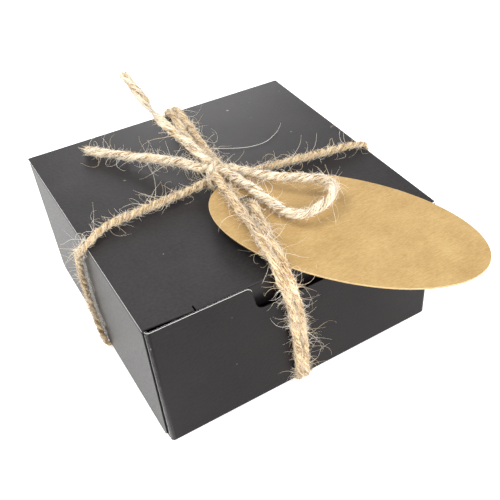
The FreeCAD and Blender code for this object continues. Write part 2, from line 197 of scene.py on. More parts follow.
def kraft_material():
    """Brown kraft card, with fine fibres lying in all directions."""
    shader = Shader("kraft_card_face", 0.72)
    place = shader.coordinates()
    grain = shader.noise(place, 1600.0, 6.0, 0.75)
    cloud = shader.noise(place, 110.0, 4.0, 0.6)
    fibres = shader.noise(shader.coordinates((1, 6, 1)), 520.0, 4.0, 0.7)
    tone = shader.mix(0.45, shader.mix(0.5, grain, cloud), fibres)
    dark, brown, pale = (0.355, 0.212, 0.072), (0.46, 0.302, 0.116), (0.575, 0.397, 0.170)
    colour = shader.ramp(tone, (0.36, dark), (0.5, brown), (0.66, pale))
    shader.link(colour, "Base Color")
    shader.bump(grain, 0.00004, 0.5)
    return shader.material


def kraft_edge_material():
    """The tag's cut edge: paler, with the card's layers along it."""
    shader = Shader("kraft_card_edge", 0.8)
    layers = shader.noise(shader.coordinates((1, 1, 6)), 1200.0, 2.0)
    colour = shader.ramp(layers, (0.35, (0.62, 0.44, 0.23)), (0.65, (0.86, 0.68, 0.42)))
    shader.link(colour, "Base Color")
    return shader.material


# The lid and the walls are one black board. The lid's copy is painted lighter, painted
# light on the top, and the walls' copy is painted darker, painted shade on the sides.
LIT_LID_BOARD = board_material(
    "black_board_lid_painted_lit", (0.0150, 0.0131, 0.0143), (0.0290, 0.0258, 0.0277), 0.50, 0.25
)
SHADED_WALL_BOARD = board_material(
    "black_board_wall_painted_shade", (0.0060, 0.0047, 0.0052), (0.0110, 0.0086, 0.0095), 0.35, 0.16
)
# The pale colour of the board's cut edges: partly its grey core, partly a painted highlight
# along the edges.
PALE_EDGE_AND_GLINT = edge_material()
# The golden and the paler copy are one jute. The paler copy, for the bow loop, the tails
# and some lengths in the knot, is painted lighter where those lie on top in the light:
# painted light.
JUTES = {
    "golden": jute_material(
        "jute_golden", (0.15, 0.075, 0.022), (0.53, 0.335, 0.14), (0.93, 0.76, 0.48)
    ),
    "painted_lit": jute_material(
        "jute_painted_lit", (0.19, 0.10, 0.035), (0.72, 0.53, 0.29), (1.0, 0.94, 0.76)
    ),
}
KRAFT = kraft_material()
KRAFT_EDGE = kraft_edge_material()

# ---- the twine's route -----------------------------------------------------------------

# Routes are in millimetres. They repeat the points of the CAD's tubes.
TOP = 50.0
LEFT, RIGHT, FRONT, BACK = -50.0, 50.0, -50.0, 50.0

# How far past an edge of the box a wrap turns down over it.
NEAR = 0.3

ROUTES = {
    "wrap_left": [
        (-7.6, -1.6, TOP + 2.4), (-18.0, -1.9, TOP + 2.0), (-33.5, -2.6, TOP + 1.8),
        (-43.0, -3.4, TOP + 1.8),
        (LEFT - NEAR, -8.4, TOP + 2.0), (LEFT - 2.0, -8.2, TOP + NEAR),
        (LEFT - 1.7, -0.4, TOP - 7.0), (LEFT - 1.9, 3.6, TOP - 19.0),
        (LEFT - 1.6, 5.0, TOP - 34.0), (LEFT - 1.4, 0.6, 3.4), (LEFT - 0.8, -0.4, 0.9),
        (LEFT + 1.5, -0.4, 1.0),
    ],
    "wrap_right": [
        (0.6, -3.0, TOP + 2.4), (10.0, -3.5, TOP + 1.9), (22.0, -5.2, TOP + 1.8),
        (36.0, -7.8, TOP + 1.8),
        (RIGHT + NEAR, -9.8, TOP + 2.0), (RIGHT + 2.0, -9.8, TOP + NEAR),
        (RIGHT + 1.9, -7.6, TOP - 13.0), (RIGHT + 1.9, -3.2, TOP - 30.0),
        (RIGHT + 1.5, -0.6, 3.4), (RIGHT + 0.8, 0.0, 0.9), (RIGHT - 1.5, 0.0, 1.0),
    ],
    "wrap_back_left": [
        (-1.8, 1.8, TOP + 2.3), (-1.2, 13.0, TOP + 1.9), (0.8, 30.0, TOP + 1.8),
        (3.4, BACK + NEAR, TOP + 2.0), (3.5, BACK + 2.0, TOP + NEAR),
        (1.6, BACK + 1.9, TOP - 13.0), (-1.2, BACK + 1.9, TOP - 30.0),
        (-3.0, BACK + 1.5, 3.4), (-3.4, BACK + 0.8, 0.9), (-3.4, BACK - 1.5, 1.0),
    ],
    "wrap_back_right": [
        (1.2, 1.2, TOP + 2.3), (1.6, 13.0, TOP + 1.9), (4.0, 30.0, TOP + 1.8),
        (6.2, BACK + NEAR, TOP + 2.0), (6.3, BACK + 2.0, TOP + NEAR),
        (4.6, BACK + 1.9, TOP - 13.0), (2.0, BACK + 1.9, TOP - 30.0),
        (0.6, BACK + 1.5, 3.4), (0.4, BACK + 0.8, 0.9), (0.4, BACK - 1.5, 1.0),
    ],
    "wrap_front_left": [
        (-5.0, -4.8, TOP + 6.6), (-5.6, -12.0, TOP + 7.0), (-6.9, -22.0, TOP + 6.6),
        (-7.5, -31.6, TOP + 6.3), (-8.7, -42.5, TOP + 5.9), (-10.4, FRONT - 0.6, TOP + 5.3),
        (-9.9, FRONT - 2.4, TOP + 0.6), (-7.2, FRONT - 1.9, TOP - 8.0),
        (-5.4, FRONT - 1.8, TOP - 23.0), (-4.2, FRONT - 1.4, 6.0),
        (-3.9, FRONT - 0.5, 1.2), (-3.9, FRONT + 1.5, 1.0),
    ],
    "wrap_front_right": [
        (-3.0, -4.6, TOP + 1.9), (-1.8, -11.0, TOP + 1.6), (-1.7, -19.7, TOP + 1.6),
        (-1.9, -23.6, TOP + 6.3), (-4.0, -30.0, TOP + 6.2), (-6.2, -41.0, TOP + 5.9),
        (-7.9, FRONT - 0.6, TOP + 5.3), (-7.4, FRONT - 2.4, TOP + 0.6),
        (-4.7, FRONT - 1.9, TOP - 8.0), (-3.0, FRONT - 1.8, TOP - 23.0),
        (-1.9, FRONT - 1.4, 6.0), (-1.5, FRONT - 0.5, 1.2), (-1.3, FRONT + 1.5, 1.0),
    ],
    "bow_loop": [
        (1.0, -3.2, TOP + 6.3), (4.4, -11.0, TOP + 7.5), (8.6, -18.2, TOP + 8.3),
        (14.6, -23.4, TOP + 8.6), (20.0, -27.0, TOP + 8.5), (22.4, -31.6, TOP + 8.1),
        (19.4, -36.0, TOP + 7.6), (13.4, -38.2, TOP + 7.2), (7.2, -38.6, TOP + 7.0),
        (3.2, -35.0, TOP + 7.1), (1.8, -28.4, TOP + 7.5), (0.6, -20.4, TOP + 7.9),
        (-0.5, -12.0, TOP + 7.5), (-2.0, -4.4, TOP + 7.0),
    ],
    "tail_long": [
        (-3.2, 2.0, TOP + 6.5), (-4.2, 11.0, TOP + 7.6), (-6.4, 19.4, TOP + 9.9),
        (-9.2, 26.0, TOP + 13.2), (-11.0, 30.2, TOP + 17.4), (-12.4, 34.4, TOP + 21.6),
        (-13.8, 39.6, TOP + 25.2),
    ],
    "tail_short": [
        (-6.4, 1.2, TOP + 5.9), (-9.6, 9.2, TOP + 5.5), (-14.6, 16.4, TOP + 4.6),
        (-19.2, 23.0, TOP + 3.4), (-24.4, 30.8, TOP + 2.2), (-31.8, 39.8, TOP + 1.9),
    ],
}


ROUTE_RESOLUTION = 24


def follow(name, route):
    """A route's smooth line: points read back from its NURBS spline, in metres."""
    curve = bpy.data.curves.new(name + "_route", "CURVE")
    curve.dimensions = "3D"
    curve.resolution_u = ROUTE_RESOLUTION
    spline = curve.splines.new("NURBS")
    spline.points.add(len(route) - 1)
    for point, place in zip(spline.points, route):
        point.co = (*(value * MM for value in place), 1.0)
    spline.order_u = 3
    spline.use_endpoint_u = True
    holder = bpy.data.objects.new(name + "_route", curve)
    mesh = bpy.data.meshes.new_from_object(holder)
    line = np.array([tuple(vertex.co) for vertex in mesh.vertices])
    bpy.data.objects.remove(holder)
    bpy.data.meshes.remove(mesh)
    return line


SAME_PLACE = 1e-7


class Strand:
    """A line with even steps and a frame (tangent, side, up) carried along it."""

    def __init__(self, line, step):
        gaps = np.linalg.norm(np.diff(line, axis=0), axis=1)
        line = line[np.concatenate([[True], gaps > SAME_PLACE])]
        gaps = np.linalg.norm(np.diff(line, axis=0), axis=1)
        travel = np.concatenate([[0.0], np.cumsum(gaps)])
        self.length = float(travel[-1])
        count = max(3, round(self.length / step) + 1)
        self.travel = np.linspace(0.0, self.length, count)
        self.points = np.stack(
            [np.interp(self.travel, travel, line[:, axis]) for axis in range(3)], axis=1
        )
        self.tangents = np.gradient(self.points, axis=0)
        self.tangents /= np.linalg.norm(self.tangents, axis=1)[:, None]
        side = np.cross(self.tangents[0], (0.0, 0.0, 1.0))
        if np.linalg.norm(side) < 0.1:
            side = np.cross(self.tangents[0], (0.0, 1.0, 0.0))
        sides = []
        for tangent in self.tangents:
            side = side - tangent * side.dot(tangent)
            side = side / np.linalg.norm(side)
            sides.append(side)
        self.sides = np.array(sides)
        self.ups = np.cross(self.sides, self.tangents)

    def ring(self, angle):
        """Unit directions at an angle round the line, for every step."""
        return np.cos(angle)[:, None] * self.sides + np.sin(angle)[:, None] * self.ups

    def outwards(self, i, angle):
        """The unit direction at an angle round the line, at one step."""
        return math.cos(angle) * self.sides[i] + math.sin(angle) * self.ups[i]


def wander(rng, travel, wavelength, count=3):
    """A smooth random function of the distance along a strand, from about -1 to 1."""
    total = np.zeros_like(travel)
    for octave in range(count):
        turn = rng.uniform(0.0, 2.0 * math.pi)
        rate = 2.0 * math.pi / (wavelength * rng.uniform(0.7, 1.3) / (octave + 1))
        total += np.sin(travel * rate + turn) / (octave + 1)
    return total / 1.6


def build_mesh(name, vertices, faces, material, attributes=None):
    mesh = bpy.data.meshes.new(name)
    mesh.from_pydata([tuple(v) for v in vertices], [], faces)
    for key, (kind, values) in (attributes or {}).items():
        layer = mesh.attributes.new(key, kind, "POINT")
        field = "vector" if kind == "FLOAT_VECTOR" else "value"
        layer.data.foreach_set(field, np.asarray(values, np.float32).ravel())
    mesh.materials.append(material)
    mesh.polygons.foreach_set("use_smooth", [True] * len(mesh.polygons))
    mesh.update()
    piece = bpy.data.objects.new(name, mesh)
    bpy.context.scene.collection.objects.link(piece)
    return piece


# Each ply is a tube of PLY_SIDES sides with a ring every STEP along the twine. Its section
# is a little narrower from the twine's middle outwards than across.
PLY_SIDES = 16
STEP = 0.4 * MM
PLY_OUTWARDS = 0.94
PLY_ACROSS = 1.06

# A ply's radius and its distance from the twine's middle add up to this share of the
# twine's radius.
PLY_REACH = 1.04

# Fibres turn round their ply once in this many turns of the ply round the twine.
LAY_LENGTH = 1.6

# How far a ply's turn, its distance from the middle and its radius wander, and over what
# length.
TURN_WANDER, TURN_WAVE = 0.5, 34 * MM
SPLIT_WANDER, SPLIT_WAVE = 0.05, 12 * MM
SIZE_WANDER, SIZE_WAVE = 0.06, 7 * MM

# Two sets of ridges run along a ply: their height as a share of its radius, and number.
RIDGES = ((0.050, 4.0), (0.040, 7.0))
RIDGE_SHIFT = 1.3
RIDGE_WAVE = 11 * MM
ROUGHNESS = 0.022

# The fibres' pattern: its length along the twine, its size round a ply, and the gap that
# keeps the two plies' patterns apart.
PATTERN_LENGTH = 2.4 * MM
PATTERN_ROUND = 3.4
PATTERN_GAP = 17.0


class Ply:
    """One of the twine's two plies: its middle line and section along a strand."""

    def __init__(self, strand, rng, number, look, start_turn):
        travel = strand.travel
        share = travel / strand.length
        slack = look["radius"] * look["shape"](share)
        turn = start_turn + math.pi * number + 2.0 * math.pi * travel / look["pitch"]
        shared = np.random.default_rng(look["seed"])
        turn = turn + wander(shared, travel, TURN_WAVE) * TURN_WANDER
        self.strand = strand
        self.out = strand.ring(turn)
        self.across = strand.ring(turn + math.pi / 2)
        split = look["split"] + SPLIT_WANDER * wander(rng, travel, SPLIT_WAVE)
        self.centres = strand.points + self.out * (slack * split)[:, None]
        uneven = SIZE_WANDER * wander(rng, travel, SIZE_WAVE)
        self.size = slack * (PLY_REACH - look["split"] + uneven)
        lay_pitch = look["pitch"] * LAY_LENGTH
        self.lay_turn = 2.0 * math.pi * travel / lay_pitch + rng.uniform(0.0, 6.0)

    def ring(self, i, angles, reach):
        """Points at angles round the ply's middle line, reach away from it."""
        wide = np.cos(angles)[:, None] * self.out[i] * PLY_OUTWARDS
        tall = np.sin(angles)[:, None] * self.across[i] * PLY_ACROSS
        return self.centres[i] + (wide + tall) * np.reshape(reach, (-1, 1))


def two_plies(strand, rng, look):
    start_turn = rng.uniform(0.0, 2.0 * math.pi)
    return [Ply(strand, rng, number, look, start_turn) for number in range(2)]


def ply_tubes(plies, rng, press=None):
    """Vertices, faces and fibre coordinates of the plies, as closed ridged tubes."""
    vertices, faces, lay = [], [], []
    (height_a, count_a), (height_b, count_b) = RIDGES
    angles = np.linspace(0.0, 2.0 * math.pi, PLY_SIDES, endpoint=False)
    for number, ply in enumerate(plies):
        travel = ply.strand.travel
        count = len(travel)
        base = len(vertices)
        drift = wander(rng, travel, RIDGE_WAVE)
        for i in range(count):
            fibre = angles - ply.lay_turn[i]
            ridge_a = height_a * np.sin(fibre * count_a + drift[i])
            ridge_b = height_b * np.sin(fibre * count_b + RIDGE_SHIFT)
            rough = rng.normal(0.0, ROUGHNESS, PLY_SIDES)
            reach = ply.size[i] * (1.0 + (ridge_a + ridge_b) + rough)
            vertices.extend(ply.ring(i, angles, reach))
            across = np.cos(fibre) * PATTERN_ROUND + number * PATTERN_GAP
            upright = np.sin(fibre) * PATTERN_ROUND
            along = np.full(PLY_SIDES, travel[i] / PATTERN_LENGTH)
            lay.extend(np.stack((across, upright, along), axis=1))
        for i in range(count - 1):
            a = base + i * PLY_SIDES
            for k in range(PLY_SIDES):
                n = (k + 1) % PLY_SIDES
                faces.append((a + k, a + n, a + n + PLY_SIDES, a + k + PLY_SIDES))
        for i, way in ((0, -1.0), (count - 1, 1.0)):
            ring = list(range(base + i * PLY_SIDES, base + (i + 1) * PLY_SIDES))
            middle = len(vertices)
            outwards = ply.strand.tangents[i] * ply.size[i] * 0.5 * way
            vertices.append(ply.centres[i] + outwards)
            lay.append(lay[ring[0]])
            for k in range(PLY_SIDES):
                n = (k + 1) % PLY_SIDES
                pair = (ring[n], ring[k]) if way < 0 else (ring[k], ring[n])
                faces.append((*pair, middle))
    if press:
        vertices = [press(vertex) for vertex in vertices]
    return vertices, faces, lay


def twine_mesh(name, plies, rng, material, press=None):
    """A piece that shows a length of twine."""
    vertices, faces, lay = ply_tubes(plies, rng, press)
    coordinates = {"lay": ("FLOAT_VECTOR", lay)}
    piece = build_mesh(name, vertices, faces, JUTES[material], coordinates)
    return piece


# How far loose fibres stay from the card and the board.
SKIN = 0.12 * MM

# Fibres' tones run from 0, brown, to 1, near white. This share of those that lie along a
# ply is brown, up to this tone.
BROWN_SHARE = 0.28
BROWN_TONE = 0.25

# The tag at rest: its hole's place on its underside, its directions, and its outline's
# middle and half sizes as measured from the hole.
TAG_HOLE = np.array((-2.1, -20.0, 53.9)) * MM
TAG_LONG = np.array((0.6148, -0.7869, -0.0523))
TAG_UP = np.array((0.0322, -0.0412, 0.9986))
TAG_WIDE = np.cross(TAG_UP, TAG_LONG)
TAG_MIDDLE = 32.1 * MM
TAG_HALF = (43.6 * MM, 23.6 * MM)
TAG_BOARD = 0.5 * MM


def off_tag(point):
    """Keep a fibre from lying inside the tag's card."""
    offset = point - TAG_HOLE
    along, across, height = offset @ TAG_LONG, offset @ TAG_WIDE, offset @ TAG_UP
    oval = ((along - TAG_MIDDLE) / TAG_HALF[0]) ** 2 + (across / TAG_HALF[1]) ** 2
    if oval < 1.0 and -SKIN < height < TAG_BOARD + SKIN:
        rise = TAG_BOARD + SKIN if height > TAG_BOARD / 2 else -SKIN
        return point + TAG_UP * (rise - height)
    return point


def keep_clear(point):
    """Keep a fibre out of the closed box and the tag, and above the table."""
    x, y, z = off_tag(point)
    over = z - LID_TOP - SKIN
    beside = abs(x) - HALF_WIDTH - SKIN
    before = abs(y) - HALF_DEPTH - SKIN
    nearest = max(over, beside, before)
    if nearest < 0.0:
        if nearest == over:
            z = LID_TOP + SKIN
        elif nearest == beside:
            x = math.copysign(HALF_WIDTH + SKIN, x)
        else:
            y = math.copysign(HALF_DEPTH + SKIN, y)
    return np.array((x, y, max(z, SKIN)))


def unit(vector):
    return vector / np.linalg.norm(vector)


class Fuzz:
    """Loose fibres gathered into one mesh: thin three-sided tapering tubes."""

    def __init__(self, rng):
        self.rng = rng
        self.vertices, self.faces, self.tones = [], [], []

    def stray(self, start, heading, length, curl, thickness, tone):
        """A fibre that leaves the twine and curls through the air."""
        rng = self.rng
        steps = max(4, min(16, int(length / (0.7 * MM))))
        step = length / steps
        bend = rng.normal(0.0, 1.0, 3)
        direction = unit(heading)
        point = keep_clear(start)
        path = [point]
        for _ in range(steps):
            bend = unit(bend + rng.normal(0.0, 0.4, 3))
            direction = unit(direction + np.cross(bend, direction) * curl * step)
            point = keep_clear(point + direction * step)
            path.append(point)
        self.tube(np.array(path), thickness, tone)

    def hugging(self, ply, length, palest, press=None):
        """A fibre that lies along a ply, with its ends a little proud."""
        rng = self.rng
        travel = ply.strand.travel
        start = int(rng.integers(0, len(travel)))
        picked = np.unique(np.linspace(start, start + length / STEP, 7).astype(int))
        picked = picked[picked < len(travel)]
        if len(picked) < 4:
            return
        angle = rng.uniform(0.0, 2.0 * math.pi)
        slant = rng.normal(0.0, 0.9)
        share = np.linspace(0.0, 1.0, len(picked))
        lift = (0.03 + 0.8 * rng.random() ** 2 * (2.0 * share - 1.0) ** 4) * MM
        path = []
        for i, part, rise in zip(picked, share, lift):
            turned = angle + ply.lay_turn[i] - ply.lay_turn[start] + slant * part
            path.append(ply.ring(i, np.array((turned,)), ply.size[i] + rise)[0])
        if press:
            path = [press(point) for point in path]
        if rng.random() < BROWN_SHARE:
            tone = BROWN_TONE * rng.random()
        else:
            tone = palest - 0.35 * rng.random()
        self.tube(np.array(path), rng.uniform(0.06, 0.125) * MM, tone)

    def tube(self, path, thickness, tone):
        """One fibre along a path, thinner towards its end."""
        base = len(self.vertices)
        tangents = np.gradient(path, axis=0)
        tangents /= np.maximum(np.linalg.norm(tangents, axis=1), 1e-9)[:, None]
        reference = np.array((0.31, 0.47, 0.83))
        count = len(path)
        for i, (place, tangent) in enumerate(zip(path, tangents)):
            side = np.cross(tangent, reference)
            side = side / max(np.linalg.norm(side), 1e-9)
            up = np.cross(side, tangent)
            size = thickness * (1.0 - 0.7 * i / (count - 1))
            for k in range(3):
                angle = 2.0 * math.pi * k / 3
                out = side * math.cos(angle) + up * math.sin(angle)
                self.vertices.append(place + out * size)
                self.tones.append(tone)
        for i in range(count - 1):
            a = base + i * 3
            for k in range(3):
                n = (k + 1) % 3
                self.faces.append((a + k, a + n, a + n + 3, a + k + 3))
        self.faces.append((base + 2, base + 1, base))
        last = base + (count - 1) * 3
        self.faces.append((last, last + 1, last + 2))

    def strays_along(self, strand, look, per_mm, shortest, longest, lift, thickness):
        """Stray fibres along a strand, some in tufts, more of them short than long."""
        rng = self.rng
        last = len(strand.travel) - 1
        tufts = rng.integers(0, last, max(2, int(strand.length / (9 * MM))))
        for _ in range(int(strand.length / MM * per_mm)):
            i = int(rng.integers(0, last))
            if rng.random() < 0.45:
                i = int(np.clip(rng.choice(tufts) + rng.normal(0.0, 4.0), 0, last))
            out = strand.outwards(i, rng.uniform(0.0, 2.0 * math.pi))
            along = strand.tangents[i] * rng.choice((-1.0, 1.0))
            size = look["radius"] * float(look["shape"](strand.travel[i] / strand.length))
            heading = along * rng.uniform(0.3, 1.2) + out * rng.uniform(0.3, 1.0) * lift
            length = shortest + (longest - shortest) * rng.random() ** 2
            curl = rng.uniform(60.0, 620.0)
            width = thickness * rng.uniform(0.7, 1.2)
            start = strand.points[i] + out * size * 0.85
            self.stray(start, heading, length, curl, width, 0.5 + 0.5 * rng.random())

    def brush(self, strand, look, count):
        """The fibres that stand out of a cut end."""
        rng = self.rng
        size = look["radius"] * float(look["shape"](1.0))
        for _ in range(count):
            i = len(strand.travel) - 1 - int(rng.integers(0, 5))
            out = strand.outwards(i, rng.uniform(0.0, 2.0 * math.pi))
            start = strand.points[i] + out * size * math.sqrt(rng.random()) * 0.9
            heading = strand.tangents[-1] + out * rng.uniform(-0.1, 0.55)
            length = rng.uniform(0.8, 2.8) * MM
            self.stray(start, heading, length, 120.0, 0.08 * MM, 0.3 + 0.7 * rng.random())

    def finish(self, name, body):
        tones = {"tone": ("FLOAT", self.tones)}
        piece = build_mesh(name, self.vertices, self.faces, FIBRE, tones)
        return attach(piece, body)


def fibre_material():
    """Loose fibres: straw to near white, a little different from one to the next."""
    shader = Shader("jute_loose_fibre", 0.7)
    tone = shader.add("Attribute", attribute_name="tone").outputs["Fac"]
    brown, straw, pale = (0.26, 0.145, 0.05), (0.80, 0.62, 0.37), (1.0, 0.98, 0.93)
    colour = shader.ramp(tone, (0.0, brown), (0.5, straw), (1.0, pale))
    shader.link(colour, "Base Color")
    return shader.material


FIBRE = fibre_material()


def even(share):
    return np.ones_like(share)


def frayed_tip(share):
    """The long tail: pinched at two thirds, then spread into a brush."""
    pinch = np.exp(-(((share - 0.66) / 0.055) ** 2))
    brush = np.clip((share - 0.72) / 0.28, 0.0, 1.0)
    return 1.04 - 0.66 * pinch - 0.10 * brush


def tight_down_side(share):
    """A side wrap: full on the lid, drawn thinner down the wall."""
    return 1.0 - 0.20 * np.clip((share - 0.50) / 0.15, 0.0, 1.0)


def tight_foot(share):
    """A front wrap: drawn thin where it turns under the box."""
    return 1.0 - 0.25 * np.clip((share - 0.93) / 0.05, 0.0, 1.0)


def look(pitch, split, radius=1.4, shape=even, material="golden", fuzz=1.0):
    """How a strand looks.

    pitch is the length of a ply's turn and radius the twine's, both in millimetres. split
    is how far the plies' middles stand from the twine's, as a share of its radius. shape
    scales the radius along the strand, and fuzz the number of loose fibres.
    """
    return {
        "pitch": pitch * MM, "split": split, "radius": radius * MM, "shape": shape,
        "material": material, "fuzz": fuzz, "seed": int(pitch * 10),
    }


# The bow loop and the tails take the painted lit copy of the jute.
LOOKS = {
    "wrap_left": look(7.2, 0.42, 1.22, tight_down_side),
    "wrap_right": look(7.6, 0.42, 1.24, tight_down_side),
    "wrap_back_left": look(26.0, 0.36, 1.32),
    "wrap_back_right": look(24.0, 0.36, 1.32),
    "wrap_front_left": look(34.0, 0.33, 1.36, tight_foot, fuzz=1.3),
    "wrap_front_right": look(38.0, 0.33, 1.36, tight_foot, fuzz=1.3),
    "bow_loop": look(18.0, 0.36, 1.5, material="painted_lit", fuzz=0.8),
    "tail_long": look(25.0, 0.34, 1.5, frayed_tip, material="painted_lit"),
    "tail_short": look(24.0, 0.34, 1.5, material="painted_lit"),
}

# The palest tone of the fibres that lie along each twine. The painted lit copy's fibres
# reach a paler tone, painted light as well.
PALEST = {"golden": 0.82, "painted_lit": 1.0}


# Twine drawn over an edge of the box is pressed to this share of its height, and less
# with distance from the edge.
SQUEEZE = 0.62
SQUEEZE_ZONE = 7.0 * MM

# Twine that comes lower than PRESS_FROM is pressed, and never comes below LOWEST.
PRESS_FROM = 0.9 * MM
LOWEST = 0.03 * MM

# Under the box, twine that comes below UNDER_BOX keeps this far from its base.
UNDER_BOX = 6 * MM
BASE_GAP = 0.05 * MM


def press_on_box(point):
    """Flatten twine against the box where it is drawn over an edge."""
    x, y, z = point
    beyond_x, beyond_y, beyond_z = abs(x) - HALF_WIDTH, abs(y) - HALF_DEPTH, z - LID_TOP
    side = max(beyond_x, beyond_y)
    uneven = (max(side, -1.0) - max(beyond_z, -1.0)) ** 2
    inside = min(side, 0.0) ** 2 + min(beyond_z, 0.0) ** 2
    zone = SQUEEZE_ZONE**2
    closeness = math.exp(-inside / zone) * math.exp(-uneven / zone)
    scale = 1.0 - (1.0 - SQUEEZE) * closeness
    if beyond_z > 0.0:
        z = LID_TOP + beyond_z * scale
    if beyond_x > 0.0:
        x = math.copysign(HALF_WIDTH + beyond_x * scale, x)
    if beyond_y > 0.0:
        y = math.copysign(HALF_DEPTH + beyond_y * scale, y)
    return press_on_table((x, y, z))


def press_on_table(point):
    """Flatten twine that would pass through the table, or through the box's base."""
    x, y, z = point
    if abs(x) < HALF_WIDTH and abs(y) < HALF_DEPTH and z < UNDER_BOX:
        z = min(z, BOX_FOOT - BASE_GAP)
    if z < PRESS_FROM:
        z = LOWEST + (PRESS_FROM - LOWEST) * math.exp((z - PRESS_FROM) / PRESS_FROM)
    return np.array((x, y, z))


PRESSES = {
    "wrap_left": press_on_box, "wrap_right": press_on_box,
    "wrap_back_left": press_on_box, "wrap_back_right": press_on_box,
    "wrap_front_left": press_on_table, "wrap_front_right": press_on_table,
}


# Fibres for each millimetre of twine: how many lie along it, and how many stand out of it,
# with their least and greatest length, how far they turn outwards, and their thickness.
HUGGING_PER_MM = 8
SHORT_STRAYS = (8.0, 0.7 * MM, 3.2 * MM, 0.8, 0.056 * MM)
LONG_STRAYS = (1.9, 2.5 * MM, 13.0 * MM, 1.0, 0.062 * MM)

# The fibres that stand out of a tail's end.
BRUSH_FIBRES = 70


def make_strand(name, route, seed):
    """A length of twine that replaces its CAD tube, with its loose fibres."""
    rng = np.random.default_rng(seed)
    style = LOOKS[name]
    press = PRESSES.get(name)
    line = follow(name, route)
    strand = Strand(line, STEP)
    plies = two_plies(strand, rng, style)
    piece = twine_mesh(name + "_twine", plies, rng, style["material"], press)
    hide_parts(name)
    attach(piece, "twine")
    fuzz = Fuzz(rng)
    palest = PALEST[style["material"]]
    for _ in range(int(strand.length / MM * HUGGING_PER_MM)):
        ply = plies[int(rng.integers(0, 2))]
        fuzz.hugging(ply, rng.uniform(3.0, 9.0) * MM, palest, press)
    for per_mm, *kind in (SHORT_STRAYS, LONG_STRAYS):
        fuzz.strays_along(strand, style, per_mm * style["fuzz"], *kind)
    if name.startswith("tail"):
        fuzz.brush(strand, style, BRUSH_FIBRES)
    loose = fuzz.finish(name + "_fuzz", "twine")


for number, (name, route) in enumerate(ROUTES.items()):
    make_strand(name, route, 100 + number)

# ---- the knot --------------------------------------------------------------------------

# Each length's twine, its radius and its route, in millimetres. The lengths of the loop and
# tails, and the band over the knot, take the painted lit copy of the jute.
KNOT_STRANDS = {
    "tail_long_to_loop": (
        "painted_lit", 1.5,
        [
            (-3.3, 4.5, TOP + 6.6), (-2.4, 0.6, TOP + 6.4), (-1.0, -2.2, TOP + 6.2),
            (2.6, -7.4, TOP + 7.0),
        ],
    ),
    "tail_short_to_loop": (
        "painted_lit", 1.5,
        [
            (-7.6, 4.0, TOP + 5.8), (-4.6, 0.2, TOP + 6.0), (-2.8, -2.0, TOP + 6.6),
            (-1.2, -8.0, TOP + 7.3),
        ],
    ),
    "back_left_to_front_left": (
        "golden", 1.4,
        [
            (-1.8, 4.5, TOP + 2.2), (-2.6, 0.8, TOP + 3.0), (-4.2, -1.6, TOP + 4.6),
            (-5.0, -6.4, TOP + 6.7),
        ],
    ),
    "back_right_to_front_right": (
        "golden", 1.4,
        [
            (1.3, 4.5, TOP + 2.2), (0.2, 1.0, TOP + 2.2), (-1.6, -2.0, TOP + 1.9),
            (-2.8, -7.0, TOP + 1.9),
        ],
    ),
    "left_to_right": (
        "golden", 1.4,
        [
            (-10.0, -1.7, TOP + 2.3), (-6.0, -1.6, TOP + 3.2), (-1.4, -2.6, TOP + 3.2),
            (3.4, -3.2, TOP + 2.2),
        ],
    ),
    "band_over": (
        "painted_lit", 1.0,
        [
            (-6.2, -3.4, TOP + 1.6), (-6.4, -2.7, TOP + 5.0), (-4.6, -1.8, TOP + 8.0),
            (-1.8, -0.6, TOP + 8.1), (-0.2, 0.2, TOP + 5.4), (-0.4, 0.4, TOP + 1.6),
        ],
    ),
    "band_under": (
        "golden", 0.95,
        [
            (-6.2, -5.4, TOP + 1.8), (-6.4, -5.0, TOP + 5.0), (-4.6, -4.2, TOP + 7.0),
            (-1.2, -2.6, TOP + 7.2), (1.2, -1.4, TOP + 4.8), (1.4, -0.8, TOP + 1.6),
        ],
    ),
}


KNOT_HUGGING_PER_MM = 5
KNOT_SHORT_STRAYS = (5.0, 0.8 * MM, 3.5 * MM, 0.9, 0.05 * MM)
KNOT_LONG_STRAYS = (0.6, 4.0 * MM, 10.0 * MM, 1.0, 0.06 * MM)


def make_knot():
    """The strands run on through the knot, and two short lengths are drawn over them."""
    rng = np.random.default_rng(41)
    fuzz = Fuzz(rng)
    for name, (material, radius, route) in KNOT_STRANDS.items():
        style = look(11.0, 0.36, radius)
        strand = Strand(follow(name, route), STEP * 0.75)
        plies = two_plies(strand, rng, style)
        piece = twine_mesh("knot_" + name, plies, rng, material)
        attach(piece, "twine")
        for _ in range(int(strand.length / MM * KNOT_HUGGING_PER_MM)):
            ply = plies[int(rng.integers(0, 2))]
            fuzz.hugging(ply, rng.uniform(2.0, 5.0) * MM, palest=1.0)
        for kind in (KNOT_SHORT_STRAYS, KNOT_LONG_STRAYS):
            fuzz.strays_along(strand, style, *kind)
    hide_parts("twine_knot")
    fuzz.finish("knot_fuzz", "twine")


make_knot()


def make_hair():
    """A single long fibre that has come loose and lies on the lid."""
    route = [
        (5.8, 18.7, TOP + 0.3), (13.3, 12.7, TOP + 0.4), (22.5, 11.1, TOP + 0.3),
        (28.5, 14.2, TOP + 0.4), (32.0, 16.8, TOP + 0.6), (34.8, 20.3, TOP + 0.4),
    ]
    fuzz = Fuzz(np.random.default_rng(61))
    fuzz.tube(follow("lid_hair", route)[::4], 0.09 * MM, 1.0)
    fuzz.finish("lid_hair", "lid")


make_hair()

# ---- the twine that the box stands on --------------------------------------------------

# In millimetres: the height of a flattened run's middle, the distance from the box's
# middle where it stops being flat, and the length over which a change of section fades.
FLAT_LEVEL = 1.0
FLAT_END = 51.4
FADE = 1.5


